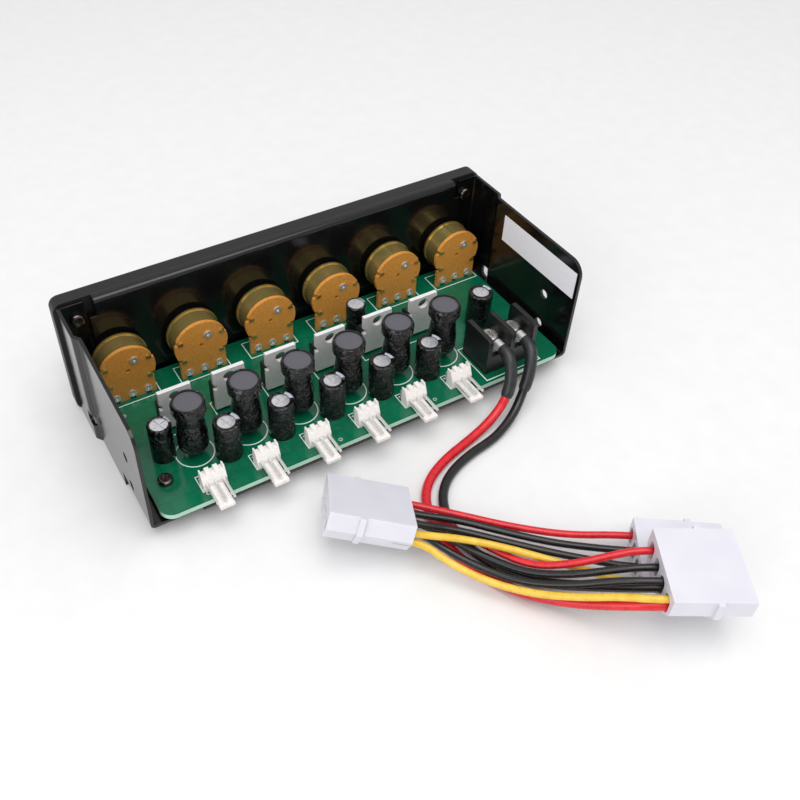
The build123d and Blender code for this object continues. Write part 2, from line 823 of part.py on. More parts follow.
with BuildPart() as choke_leads:
    with Locations(*[(x, choke_y, choke_z) for x in choke_lead_x]):
        Cylinder(
            choke_lead_d / 2,
            choke_z - pin_end_z,
            align=(Align.CENTER, Align.CENTER, Align.MAX),
        )
choke_leads.part.label = "choke_leads"
export_step(choke_leads.part, "parts/choke_leads.step")

# Electrolytic capacitors: aluminium can with a scored top inside a plastic sleeve
capacitor_x = [x - channel_pitch + capacitor_aside for x in channel_x[:-1]]
capacitor_places = [(x, capacitor_y, board_top) for x in capacitor_x]
end_capacitor_x = end_capacitor_inset - board_end_x
capacitor_places.append((end_capacitor_x, board_back_y - end_capacitor_row, board_top))
side_capacitor_x = board_end_x - side_capacitor_inset
side_place = (side_capacitor_x, board_back_y - side_capacitor_row, board_top)
slim_capacitor_x = channel_x[4] + slim_capacitor_shift
slim_place = (slim_capacitor_x, board_back_y - slim_capacitor_row, board_top)
capacitor_kinds = [
    (capacitor_d, capacitor_height, capacitor_places),
    (side_capacitor_d, side_capacitor_height, [side_place]),
    (slim_capacitor_d, slim_capacitor_height, [slim_place]),
]
sleeve_shapes = []
can_shapes = []
for diameter, height, places in capacitor_kinds:
    lip_r = min(capacitor_opening_d / 2, diameter / 2 - 2 * capacitor_sleeve)
    with BuildPart() as capacitor_sleeve_shape:
        Cylinder(diameter / 2, height, align=(Align.CENTER, Align.CENTER, Align.MIN))
        fillet(capacitor_sleeve_shape.edges().sort_by(Axis.Z)[-1], 2 * capacitor_sleeve)
        Cylinder(
            diameter / 2 - capacitor_sleeve,
            height - capacitor_sleeve,
            align=(Align.CENTER, Align.CENTER, Align.MIN),
            mode=Mode.SUBTRACT,
        )
        Cylinder(
            lip_r,
            height,
            align=(Align.CENTER, Align.CENTER, Align.MIN),
            mode=Mode.SUBTRACT,
        )
    sleeve_shapes.append(capacitor_sleeve_shape.part)
    with BuildPart() as capacitor_can_shape:
        Cylinder(
            diameter / 2 - capacitor_sleeve - capacitor_gap,
            height - capacitor_sleeve,
            align=(Align.CENTER, Align.CENTER, Align.MIN),
        )
        with Locations((0, 0, height - capacitor_sleeve)):
            for turn in (20, 110):
                Box(
                    2 * lip_r,
                    capacitor_vent_width,
                    2 * capacitor_vent_depth,
                    rotation=(0, 0, turn),
                    mode=Mode.SUBTRACT,
                )
    can_shapes.append(capacitor_can_shape.part)

with BuildPart() as capacitor_sleeves:
    for shape, kind in zip(sleeve_shapes, capacitor_kinds):
        with Locations(*kind[2]):
            add(shape)
capacitor_sleeves.part.label = "capacitor_sleeves"
export_step(capacitor_sleeves.part, "parts/capacitor_sleeves.step")

with BuildPart() as capacitor_cans:
    for shape, kind in zip(can_shapes, capacitor_kinds):
        with Locations(*kind[2]):
            add(shape)
capacitor_cans.part.label = "capacitor_cans"
export_step(capacitor_cans.part, "parts/capacitor_cans.step")

# Right-angle fan headers: sloped back wall with crenels and a locking tongue
pin_axis_z = board_top + header_pin_height
with BuildPart() as header_shape:
    with BuildSketch(Plane.YZ.offset(-header_width / 2)):
        with BuildLine():
            Polyline(
                (header_front_y, board_top),
                (header_back_y, board_top),
                (header_back_y, board_top + header_height - header_slope_height),
                (header_back_y - header_slope, board_top + header_height),
                (header_front_y, board_top + header_height),
                close=True,
            )
        make_face()
    extrude(amount=header_width)
    with Locations((0, header_back_y, board_top + header_tongue_height)):
        Box(
            header_tongue_width,
            header_tongue_reach,
            header_tongue_thickness,
            align=(Align.CENTER, Align.MIN, Align.MIN),
        )
    for k in (-1, 0, 1):
        with Locations((header_pin_pitch * k, header_front_y, board_top + header_height)):
            Box(
                header_notch_width,
                3 * header_depth,
                2 * header_notch_depth,
                mode=Mode.SUBTRACT,
            )
        with Locations((header_pin_pitch * k, header_front_y, pin_axis_z)):
            Box(header_pin, 3 * header_depth, header_pin, mode=Mode.SUBTRACT)
with BuildPart() as fan_headers:
    with Locations(*[(x, 0, 0) for x in header_x]):
        add(header_shape.part)
fan_headers.part.label = "fan_headers"
export_step(fan_headers.part, "parts/fan_headers.step")

with BuildPart() as header_pin_shape:
    with BuildSketch(Plane.YZ.offset(-header_pin / 2)):
        with BuildLine():
            bend_y = header_front_y - header_pin_back
            Polyline(
                (bend_y, pin_end_z),
                (bend_y + header_pin, pin_end_z),
                (bend_y + header_pin, pin_axis_z - header_pin / 2),
                (header_back_y + header_pin_reach, pin_axis_z - header_pin / 2),
                (header_back_y + header_pin_reach, pin_axis_z + header_pin / 2),
                (bend_y, pin_axis_z + header_pin / 2),
                close=True,
            )
        make_face()
    extrude(amount=header_pin)
with BuildPart() as header_pins:
    with Locations(*[(x, 0, 0) for x in header_pin_x]):
        add(header_pin_shape.part)
header_pins.part.label = "header_pins"
export_step(header_pins.part, "parts/header_pins.step")

# Two-pole barrier terminal block
block_width = 2 * block_pitch + block_fin_thickness
pole_x = [block_x + block_pitch / 2, block_x - block_pitch / 2]
with BuildPart() as terminal_block:
    with Locations((block_x, block_y, board_top)):
        Box(
            block_width,
            block_depth,
            block_base_height,
            align=(Align.CENTER, Align.CENTER, Align.MIN),
        )
    with Locations(*[(block_x + block_pitch * k, block_y, board_top) for k in (-1, 0, 1)]):
        Box(
            block_fin_thickness,
            block_depth,
            block_base_height + block_fin_height,
            align=(Align.CENTER, Align.CENTER, Align.MIN),
        )
    top_edges = terminal_block.edges().filter_by(Axis.X).group_by(Axis.Z)[-1]
    fillet(top_edges, block_fin_radius)
    with BuildSketch(Plane.XY.offset(block_floor_z)):
        with Locations(*[(x, block_y) for x in pole_x]):
            Circle(block_screw_d / 2 + screw_clearance)
    extrude(amount=-block_screw_length, mode=Mode.SUBTRACT)
terminal_block.part.label = "terminal_block"
export_step(terminal_block.part, "parts/terminal_block.step")

with BuildPart() as terminal_plates:
    with BuildSketch(Plane.XY.offset(block_floor_z)):
        with Locations(*[(x, block_y) for x in pole_x]):
            Rectangle(block_plate_width, block_plate_length)
            Circle(block_screw_d / 2 + screw_clearance, mode=Mode.SUBTRACT)
    extrude(amount=block_plate_thickness)
terminal_plates.part.label = "terminal_plates"
export_step(terminal_plates.part, "parts/terminal_plates.step")

with BuildPart() as terminal_screws:
    head_z = lug_z + lug_thickness
    with Locations(*[(x, block_y, head_z) for x in pole_x]):
        Cylinder(
            block_screw_head_d / 2,
            block_screw_head_h,
            align=(Align.CENTER, Align.CENTER, Align.MIN),
        )
        Cylinder(
            block_screw_d / 2,
            block_screw_length,
            align=(Align.CENTER, Align.CENTER, Align.MAX),
        )
    fillet(terminal_screws.edges().group_by(Axis.Z)[-1], block_screw_head_h / 3)
    with Locations(*[(x, block_y, head_z + block_screw_head_h) for x in pole_x]):
        Box(recess_width, block_screw_head_d / 2, 2 * recess_depth, mode=Mode.SUBTRACT)
        Box(block_screw_head_d / 2, recess_width, 2 * recess_depth, mode=Mode.SUBTRACT)
terminal_screws.part.label = "terminal_screws"
export_step(terminal_screws.part, "parts/terminal_screws.step")

# Ring lugs with crimp barrels that point to the open back
with BuildPart() as lead_lugs:
    with BuildSketch(Plane.XY.offset(lug_z)):
        with Locations(*[(x, block_y) for x in pole_x]):
            Circle(lug_ring_d / 2)
            Rectangle(
                lug_neck_width,
                lug_barrel_start + lug_barrel_length / 2,
                align=(Align.CENTER, Align.MIN),
            )
        with Locations(*[(x, block_y) for x in pole_x]):
            Circle(block_screw_d / 2 + screw_clearance, mode=Mode.SUBTRACT)
    extrude(amount=lug_thickness)
    with BuildSketch(Plane.XZ.offset(-lug_end_y)):
        with Locations(*[(x, lug_axis_z) for x in pole_x]):
            Circle(lug_barrel_d / 2)
    extrude(amount=lug_barrel_length)
lead_lugs.part.label = "lead_lugs"
export_step(lead_lugs.part, "parts/lead_lugs.step")

# Blank paper label on the inside of one wall
with BuildPart() as blank_label:
    with Locations((-wall_inner, panel_back + tray_depth - label_back_gap, wall_top - label_drop)):
        Box(
            label_thickness,
            label_length,
            label_height,
            align=(Align.MIN, Align.MAX, Align.MAX),
        )
blank_label.part.label = "blank_label"
export_step(blank_label.part, "parts/blank_label.step")



def plug_plane(origin, yaw, pitch, roll):
    """Plane across a plug's wire end: Z into the body, X along the cavities, Y to its flat top."""
    into_body = Vector(1, 0, 0).rotate(Axis.Y, -pitch).rotate(Axis.Z, yaw)
    across = Vector(0, 1, 0).rotate(Axis.X, roll).rotate(Axis.Y, -pitch).rotate(Axis.Z, yaw)
    return Plane(origin=origin, x_dir=across, z_dir=into_body)


# Where the plugs lie: the bottom middle of each wire end, and the turn, rise and lean of the body
inlet_place = plug_plane((12.8, 70.6, 4.15), -31.6, 12.6, 21.7)
outlet_place = plug_plane((-36.2, 107.0, 0), 145, 0, 0)
supply_place = plug_plane((-31.2, 117.8, plug_height), 150, 0, 0)
cavity_x = [plug_pitch * (k - 1.5) for k in range(4)]


def plug_outline(width, height, bevel_width, bevel_height):
    """Corners of a plug's section: flat top, upright sides and a bevel at each lower corner."""
    return [
        (-width / 2 + bevel_width, 0),
        (width / 2 - bevel_width, 0),
        (width / 2, bevel_height),
        (width / 2, height),
        (-width / 2, height),
        (-width / 2, bevel_height),
    ]


# Socket plugs: bevelled body, wire cavities at one end and round sockets at the other
plug_section = plug_outline(plug_width, plug_height, plug_bevel_width, plug_bevel_height)
rib_section = plug_outline(
    plug_width + 2 * plug_rib_reach, plug_height, plug_bevel_width, plug_bevel_height
)
for node, place in (("plug_inlet", inlet_place), ("plug_outlet", outlet_place)):
    with BuildPart() as socket_plug:
        with BuildSketch(place):
            with BuildLine():
                Polyline(*plug_section, close=True)
            make_face()
        extrude(amount=plug_length)
        with BuildSketch(place.offset(plug_length - plug_rib_from_end)):
            with BuildLine():
                Polyline(*rib_section, close=True)
            make_face()
        extrude(amount=plug_rib_width)
        with BuildSketch(place):
            with Locations(*[(x, plug_height / 2) for x in cavity_x]):
                SlotOverall(plug_cavity_height, plug_cavity_width, rotation=90)
        extrude(amount=plug_cavity_depth, mode=Mode.SUBTRACT)
        with BuildSketch(place.offset(plug_length)):
            with Locations(*[(x, plug_height / 2) for x in cavity_x]):
                Circle(plug_socket_d / 2)
        extrude(amount=-plug_socket_depth, mode=Mode.SUBTRACT)
    socket_plug.part.label = node
    export_step(socket_plug.part, f"parts/{node}.step")

# Shrouded supply plug with an open pocket for its mate
supply_section = plug_outline(supply_width, supply_height, plug_bevel_width, plug_bevel_height)
supply_rib_section = plug_outline(
    supply_width + 2 * plug_rib_reach, supply_height, plug_bevel_width, plug_bevel_height
)
pocket_section = plug_outline(
    supply_width - 2 * supply_wall,
    supply_height - 2 * supply_wall,
    plug_bevel_width - supply_wall / 2,
    plug_bevel_height - supply_wall / 2,
)
with BuildPart() as plug_supply:
    with BuildSketch(supply_place):
        with BuildLine():
            Polyline(*supply_section, close=True)
        make_face()
    extrude(amount=supply_length)
    with BuildSketch(supply_place.offset(supply_length - plug_rib_from_end)):
        with BuildLine():
            Polyline(*supply_rib_section, close=True)
        make_face()
    extrude(amount=plug_rib_width)
    with BuildSketch(supply_place.offset(supply_length)):
        with BuildLine():
            Polyline(*[(x, y + supply_wall) for x, y in pocket_section], close=True)
        make_face()
    extrude(amount=-supply_pocket_depth, mode=Mode.SUBTRACT)
    with BuildSketch(supply_place):
        with Locations(*[(x, supply_height / 2) for x in cavity_x]):
            SlotOverall(supply_cavity_height, plug_cavity_width, rotation=90)
    extrude(amount=plug_cavity_depth, mode=Mode.SUBTRACT)
plug_supply.part.label = "plug_supply"
export_step(plug_supply.part, "parts/plug_supply.step")

with BuildPart() as plug_pins:
    with BuildSketch(supply_place.offset(supply_length - supply_pocket_depth)):
        with Locations(*[(x, supply_height / 2) for x in cavity_x]):
            Circle(supply_pin_d / 2)
    extrude(amount=supply_pin_length)
plug_pins.part.label = "plug_pins"
export_step(plug_pins.part, "parts/plug_pins.step")

# Harness wires: two in each cavity of the inlet plug. The upper ones pass over the lower
# ones and end in the outlet plug; the lower ones rise to the supply plug.
straight_out = 3.0
lug_straight = 1.2
pair_gap = 0.14
inlet_high = plug_height / 2 + (wire_d + pair_gap) / 2
inlet_low = plug_height / 2 - (wire_d + pair_gap) / 2
shared_lead = supply_height / 2 - wire_d / 2 - pair_gap / 2
shared_wire = supply_height / 2 + lead_d / 2 + pair_gap / 2


def plug_end(place, x, height, inward):
    """Two points on the axis of a wire in a cavity: the cavity's bottom and just outside it."""
    mouth = place.origin + place.x_dir * x + place.y_dir * height
    bottom = tuple(mouth + place.z_dir * plug_cavity_depth)
    outside = tuple(mouth - place.z_dir * straight_out)
    return [outside, bottom] if inward else [bottom, outside]


wire_routes = {
    "wire_red_a": [
        *plug_end(inlet_place, cavity_x[0], inlet_high, False),
        (-3.3, 72.8, 6.0),
        (-13.8, 82.9, 5.4),
        (-25.6, 92.4, 5.0),
        *plug_end(outlet_place, cavity_x[3], plug_height / 2, True),
    ],
    "wire_black_a": [
        *plug_end(inlet_place, cavity_x[1], inlet_high, False),
        (-2.0, 74.8, 6.6),
        (-11.0, 84.2, 6.2),
        (-20.3, 92.6, 5.4),
        (-29.0, 99.0, 5.0),
        *plug_end(outlet_place, cavity_x[2], plug_height / 2, True),
    ],
    "wire_black_b": [
        *plug_end(inlet_place, cavity_x[2], inlet_high, False),
        (0.4, 77.6, 7.1),
        (-8.7, 86.6, 6.5),
        (-17.8, 95.0, 5.7),
        (-26.6, 102.4, 5.0),
        *plug_end(outlet_place, cavity_x[1], plug_height / 2, True),
    ],
    "wire_yellow_a": [
        *plug_end(inlet_place, cavity_x[3], inlet_high, False),
        (2.4, 80.6, 8.4),
        (-7.0, 88.4, 7.4),
        (-16.0, 97.0, 6.0),
        (-24.2, 105.4, 5.0),
        *plug_end(outlet_place, cavity_x[0], plug_height / 2, True),
    ],
    "wire_red_b": [
        *plug_end(inlet_place, cavity_x[0], inlet_low, False),
        (0.3, 72.7, 4.1),
        (-5.0, 84.6, 4.1),
        (-10.4, 95.6, 5.4),
        (-19.0, 102.6, 9.3),
        (-27.6, 106.8, 12.6),
        *plug_end(supply_place, cavity_x[3], supply_height / 2, True),
    ],
    "wire_black_c": [
        *plug_end(inlet_place, cavity_x[1], inlet_low, False),
        (2.6, 77.6, 4.6),
        (-2.6, 87.2, 4.2),
        (-8.6, 97.4, 5.6),
        (-16.8, 105.2, 9.4),
        (-25.0, 110.6, 12.8),
        *plug_end(supply_place, cavity_x[2], supply_height / 2, True),
    ],
    "wire_black_d": [
        *plug_end(inlet_place, cavity_x[2], inlet_low, False),
        (6.0, 80.6, 5.4),
        (0.6, 89.6, 4.5),
        (-5.6, 99.0, 5.8),
        (-13.8, 107.4, 9.8),
        (-21.8, 113.6, 14.0),
        *plug_end(supply_place, cavity_x[1], shared_wire, True),
    ],
    "wire_yellow_b": [
        *plug_end(inlet_place, cavity_x[3], inlet_low, False),
        (8.6, 84.4, 7.0),
        (2.6, 93.4, 5.4),
        (-5.0, 102.6, 6.2),
        (-12.6, 110.8, 9.8),
        (-19.6, 117.4, 13.8),
        *plug_end(supply_place, cavity_x[0], shared_wire, True),
    ],
}

# Supply leads: from the lugs down to the table, under the harness and into the supply plug
lead_routes = {
    "red": [
        (pole_x[0], lug_end_y, lug_axis_z),
        (pole_x[0], lug_end_y + lug_straight, lug_axis_z),
        (-45.1, 38.4, 17.0),
        (-44.2, 41.0, 14.3),
        (-42.5, 43.2, 10.6),
        (-40.1, 44.4, 6.8),
        (-36.4, 45.6, 4.0),
        (-31.0, 47.2, 2.4),
        (-23.5, 49.0, 1.5),
        (-14.8, 51.2, 1.5),
        (-6.6, 54.8, 1.5),
        (-1.2, 59.8, 1.5),
        (1.6, 66.2, 1.5),
        (3.0, 74.0, 1.5),
        (2.6, 81.8, 1.5),
        (0.2, 89.2, 1.5),
        (-3.2, 96.4, 1.9),
        (-7.7, 103.7, 3.6),
        (-13.6, 111.2, 6.8),
        (-19.4, 117.8, 10.8),
        *plug_end(supply_place, cavity_x[0], shared_lead, True),
    ],
    "black": [
        (pole_x[1], lug_end_y, lug_axis_z),
        (pole_x[1], lug_end_y + lug_straight, lug_axis_z),
        (-53.3, 38.4, 17.0),
        (-51.7, 41.0, 14.2),
        (-49.3, 43.2, 10.4),
        (-46.6, 44.7, 6.8),
        (-43.0, 47.0, 4.0),
        (-37.8, 49.6, 2.4),
        (-31.0, 52.0, 1.5),
        (-21.6, 53.4, 1.5),
        (-13.0, 56.2, 1.5),
        (-6.8, 60.6, 1.5),
        (-3.0, 66.8, 1.5),
        (-1.4, 74.4, 1.5),
        (-2.0, 82.4, 1.5),
        (-4.6, 89.6, 1.5),
        (-8.4, 96.0, 2.0),
        (-12.9, 101.8, 3.6),
        (-18.4, 108.0, 6.8),
        (-23.2, 113.8, 10.6),
        *plug_end(supply_place, cavity_x[1], shared_lead, True),
    ],
}

# Each cord: its route, the radii of its bends and its diameter
cords = []
for node, points in wire_routes.items():
    cords.append((node, points, bend_radii(points), wire_d))
for colour, points in lead_routes.items():
    radii = bend_radii(points)
    join = tuple((Vector(*points[4]) + Vector(*points[5])) / 2)
    cords.append((f"lead_sleeve_{colour}", [*points[:5], join], radii[:4], sleeve_d))
    cords.append((f"lead_{colour}", [join, *points[5:]], radii[4:], lead_d))

for node, points, radii, diameter in cords:
    with BuildPart() as cord:
        with BuildLine() as route:
            FilletPolyline(*points, radius=radii)
        with BuildSketch(Plane(origin=route.line @ 0, z_dir=route.line % 0)):
            Circle(diameter / 2)
        sweep()
    section = cord.part.volume / (3.14159265 * diameter**2 / 4 * route.wire().length)
    print(node, "length", round(route.wire().length, 1), "volume ratio", round(section, 4))
    print("  radii", [round(r, 1) for r in radii])
    cord.part.label = node
    export_step(cord.part, f"parts/{node}.step")
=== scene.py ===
# %% [markdown]
# # Fan controller hub for a drive bay
#
# The real object is a folded black steel tray with a face plate, six pots, a green circuit board
# full of parts, and a short harness of wires with three nylon plugs. The solids come from the
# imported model, so this lesson only dresses them: it lays the camera, draws the cords as smooth
# curves, gives each piece the finish of its real material and lights the table.

# %% Load the frame
import json
import math

import bmesh
import bpy
from mathutils import Matrix, Vector


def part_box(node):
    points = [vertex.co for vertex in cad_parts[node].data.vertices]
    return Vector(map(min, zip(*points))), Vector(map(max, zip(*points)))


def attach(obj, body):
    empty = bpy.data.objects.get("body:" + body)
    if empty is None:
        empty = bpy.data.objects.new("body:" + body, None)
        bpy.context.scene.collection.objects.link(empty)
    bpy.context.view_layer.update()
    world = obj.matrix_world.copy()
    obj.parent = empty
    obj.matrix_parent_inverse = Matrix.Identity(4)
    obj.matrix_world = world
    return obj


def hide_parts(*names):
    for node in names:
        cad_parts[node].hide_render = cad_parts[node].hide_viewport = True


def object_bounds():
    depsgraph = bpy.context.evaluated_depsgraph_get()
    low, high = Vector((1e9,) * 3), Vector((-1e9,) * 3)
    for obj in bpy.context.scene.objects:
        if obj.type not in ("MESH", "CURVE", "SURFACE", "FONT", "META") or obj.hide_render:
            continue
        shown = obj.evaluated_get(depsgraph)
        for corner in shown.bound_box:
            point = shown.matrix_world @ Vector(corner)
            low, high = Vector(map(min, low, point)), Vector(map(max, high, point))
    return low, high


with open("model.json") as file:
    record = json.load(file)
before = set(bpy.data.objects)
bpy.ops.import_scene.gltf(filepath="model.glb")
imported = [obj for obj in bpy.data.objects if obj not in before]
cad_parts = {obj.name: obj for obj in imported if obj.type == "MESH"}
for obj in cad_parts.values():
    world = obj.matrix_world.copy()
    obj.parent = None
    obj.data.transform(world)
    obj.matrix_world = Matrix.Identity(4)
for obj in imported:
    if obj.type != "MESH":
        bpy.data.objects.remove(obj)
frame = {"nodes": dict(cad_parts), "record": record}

nodes = frame["nodes"]
cad_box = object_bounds()
mm = 0.001
print("nodes", len(nodes), "box", [tuple(round(v, 4) for v in corner) for corner in cad_box])

# %% [markdown]
# ## The camera
#
# The photograph was taken from behind and above the tray, a little to its left. A camera can be
# placed by eye, but the outline of a box seen in perspective fixes its place, so these values are
# the ones that bring the tray's corners, the pots and the headers onto the picture. The picture is
# off centre on the lens, which the two shifts give without turning the camera.

# %% Camera at the photograph's viewing angle
picture_side = 800
focal_pixels = 930.05
centre_pixel = (339.48, 362.74)
camera_azimuth = math.radians(150.29)
camera_elevation = math.radians(43.29)
camera_roll = math.radians(0.32)
camera_distance = 285.6 * mm
camera_aim = Vector((0, 12.4, 15.0)) * mm

away = Vector((
    math.sin(camera_azimuth) * math.cos(camera_elevation),
    -math.cos(camera_azimuth) * math.cos(camera_elevation),
    math.sin(camera_elevation),
))
lens = bpy.data.cameras.new("camera")
lens.sensor_width = 36.0
lens.lens = lens.sensor_width * focal_pixels / picture_side
lens.shift_x = 0.5 - centre_pixel[0] / picture_side
lens.shift_y = centre_pixel[1] / picture_side - 0.5
lens.clip_start = 0.01
camera = bpy.data.objects.new("camera", lens)
bpy.context.scene.collection.objects.link(camera)
camera.matrix_world = (
    Matrix.Translation(camera_aim + away * camera_distance)
    @ away.to_track_quat("Z", "Y").to_matrix().to_4x4()
    @ Matrix.Rotation(camera_roll, 4, "Z")
)
bpy.context.scene.camera = camera
bpy.context.scene.view_settings.view_transform = "Standard"
print("lens", round(lens.lens, 2), "shift", round(lens.shift_x, 4), round(lens.shift_y, 4))

# %% [markdown]
# ## The harness
#
# Eight wires join three plugs, and two thicker leads come down from the terminal block, pass under
# the harness on the table and end in the supply plug. Each one is a NURBS curve whose control
# points are the corners of the route that the solid follows, so it lies where the solid lies and
# bends as softly as real insulated wire. The ends sit in the plugs' cavities, so they are worked
# out from the places of the plugs.

# %% Where the plugs lie
plug_height = 9.6
supply_height = 10.2
cavity_pitch = 5.08
cavity_depth = 5.0
straight_out = 3.0
wire_d = 2.0
lead_d = 2.8
pair_gap = 0.14
inlet_high = plug_height / 2 + (wire_d + pair_gap) / 2
inlet_low = plug_height / 2 - (wire_d + pair_gap) / 2
middle = plug_height / 2
supply_middle = supply_height / 2
shared_lead = supply_height / 2 - wire_d / 2 - pair_gap / 2
shared_wire = supply_height / 2 + lead_d / 2 + pair_gap / 2


def plug_place(origin, yaw, pitch, roll):
    """Matrix of a plug: X into its body from the wire end, Y along its cavities, Z to its top."""
    turn = Matrix.Rotation(math.radians(yaw), 4, "Z")
    rise = Matrix.Rotation(math.radians(-pitch), 4, "Y")
    lean = Matrix.Rotation(math.radians(roll), 4, "X")
    return Matrix.Translation(origin) @ turn @ rise @ lean


inlet = plug_place((12.8, 70.6, 4.15), -31.6, 12.6, 21.7)
outlet = plug_place((-36.2, 107.0, 0), 145, 0, 0)
supply = plug_place((-31.2, 117.8, plug_height), 150, 0, 0)


def cavity(plug, way, height):
    """Bottom of one of a plug's four cavities, and the point just outside its mouth."""
    across = cavity_pitch * (way - 1.5)
    return [plug @ Vector((reach, across, height)) for reach in (cavity_depth, -straight_out)]


# %% Routes of the eight wires
wire_routes = {
    "wire_red_a": [
        *cavity(inlet, 0, inlet_high),
        (-3.3, 72.8, 6.0),
        (-13.8, 82.9, 5.4),
        (-25.6, 92.4, 5.0),
        *reversed(cavity(outlet, 3, middle)),
    ],
    "wire_black_a": [
        *cavity(inlet, 1, inlet_high),
        (-2.0, 74.8, 6.6),
        (-11.0, 84.2, 6.2),
        (-20.3, 92.6, 5.4),
        (-29.0, 99.0, 5.0),
        *reversed(cavity(outlet, 2, middle)),
    ],
    "wire_black_b": [
        *cavity(inlet, 2, inlet_high),
        (0.4, 77.6, 7.1),
        (-8.7, 86.6, 6.5),
        (-17.8, 95.0, 5.7),
        (-26.6, 102.4, 5.0),
        *reversed(cavity(outlet, 1, middle)),
    ],
    "wire_yellow_a": [
        *cavity(inlet, 3, inlet_high),
        (2.4, 80.6, 8.4),
        (-7.0, 88.4, 7.4),
        (-16.0, 97.0, 6.0),
        (-24.2, 105.4, 5.0),
        *reversed(cavity(outlet, 0, middle)),
    ],
    "wire_red_b": [
        *cavity(inlet, 0, inlet_low),
        (0.3, 72.7, 4.1),
        (-5.0, 84.6, 4.1),
        (-10.4, 95.6, 5.4),
        (-19.0, 102.6, 9.3),
        (-27.6, 106.8, 12.6),
        *reversed(cavity(supply, 3, supply_middle)),
    ],
    "wire_black_c": [
        *cavity(inlet, 1, inlet_low),
        (2.6, 77.6, 4.6),
        (-2.6, 87.2, 4.2),
        (-8.6, 97.4, 5.6),
        (-16.8, 105.2, 9.4),
        (-25.0, 110.6, 12.8),
        *reversed(cavity(supply, 2, supply_middle)),
    ],
    "wire_black_d": [
        *cavity(inlet, 2, inlet_low),
        (6.0, 80.6, 5.4),
        (0.6, 89.6, 4.5),
        (-5.6, 99.0, 5.8),
        (-13.8, 107.4, 9.8),
        (-21.8, 113.6, 14.0),
        *reversed(cavity(supply, 1, shared_wire)),
    ],
    "wire_yellow_b": [
        *cavity(inlet, 3, inlet_low),
        (8.6, 84.4, 7.0),
        (2.6, 93.4, 5.4),
        (-5.0, 102.6, 6.2),
        (-12.6, 110.8, 9.8),
        (-19.6, 117.4, 13.8),
        *reversed(cavity(supply, 0, shared_wire)),
    ],
}

# %% Routes of the two supply leads
lead_routes = {
    "lead_red": [
        (-45.35, 34.2, 18.0),
        (-45.35, 35.4, 18.0),
        (-45.1, 38.4, 17.0),
        (-44.2, 41.0, 14.3),
        (-42.5, 43.2, 10.6),
        (-40.1, 44.4, 6.8),
        (-36.4, 45.6, 4.0),
        (-31.0, 47.2, 2.4),
        (-23.5, 49.0, 1.5),
        (-14.8, 51.2, 1.5),
        (-6.6, 54.8, 1.5),
        (-1.2, 59.8, 1.5),
        (1.6, 66.2, 1.5),
        (3.0, 74.0, 1.5),
        (2.6, 81.8, 1.5),
        (0.2, 89.2, 1.5),
        (-3.2, 96.4, 1.9),
        (-7.7, 103.7, 3.6),
        (-13.6, 111.2, 6.8),
        (-19.4, 117.8, 10.8),
        *reversed(cavity(supply, 0, shared_lead)),
    ],
    "lead_black": [
        (-53.85, 34.2, 18.0),
        (-53.85, 35.4, 18.0),
        (-53.3, 38.4, 17.0),
        (-51.7, 41.0, 14.2),
        (-49.3, 43.2, 10.4),
        (-46.6, 44.7, 6.8),
        (-43.0, 47.0, 4.0),
        (-37.8, 49.6, 2.4),
        (-31.0, 52.0, 1.5),
        (-21.6, 53.4, 1.5),
        (-13.0, 56.2, 1.5),
        (-6.8, 60.6, 1.5),
        (-3.0, 66.8, 1.5),
        (-1.4, 74.4, 1.5),
        (-2.0, 82.4, 1.5),
        (-4.6, 89.6, 1.5),
        (-8.4, 96.0, 2.0),
        (-12.9, 101.8, 3.6),
        (-18.4, 108.0, 6.8),
        (-23.2, 113.8, 10.6),
        *reversed(cavity(supply, 1, shared_lead)),
    ],
}


def draw_cord(node, route, diameter):
    """A round cord along a NURBS line, in place of the solid of the same name."""
    curve = bpy.data.curves.new(f"{node}_cord", "CURVE")
    curve.dimensions = "3D"
    curve.resolution_u = 10
    spline = curve.splines.new("NURBS")
    spline.points.add(len(route) - 1)
    for point, corner in zip(spline.points, route):
        point.co = (*(Vector(corner) * mm), 1.0)
        point.radius = mm
    spline.order_u = 3
    spline.use_endpoint_u = True
    cord = bpy.data.objects.new(f"{node}_cord", curve)
    bpy.context.scene.collection.objects.link(cord)
    line = bpy.data.meshes.new_from_object(cord)
    path = [v.co.copy() for v in line.vertices]
    curve.bevel_depth = diameter / 2
    curve.bevel_resolution = 6
    curve.use_fill_caps = True
    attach(cord, "unit")
    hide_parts(node)
    return cord, path


cords = {}
cord_paths = {}
for node, route in wire_routes.items():
    cords[node], cord_paths[node] = draw_cord(node, route, wire_d)
for node, route in lead_routes.items():
    cords[node], cord_paths[node] = draw_cord(node, route, lead_d)

# %% [markdown]
# ## Shrink sleeves on the leads
#
# Where each lead meets its ring lug, a short heat-shrink sleeve covers the crimp. It could be a
# thicker cord, but a real one draws in at both ends as it shrinks, so it is a tube of rings round
# the lead's own line, with a radius that swells over the crimp and tapers at the ends.

# %% Sleeves
sleeve_d = 3.8
sleeve_length = {"lead_red": 15.1, "lead_black": 15.8}
sleeve_sides = 24
crimp_swell = 0.05
crimp_share = 0.22
crimp_spread = 0.12
widest_swell = 1.04
taper_start = 0.9
taper_share = 0.1
taper_depth = 0.16


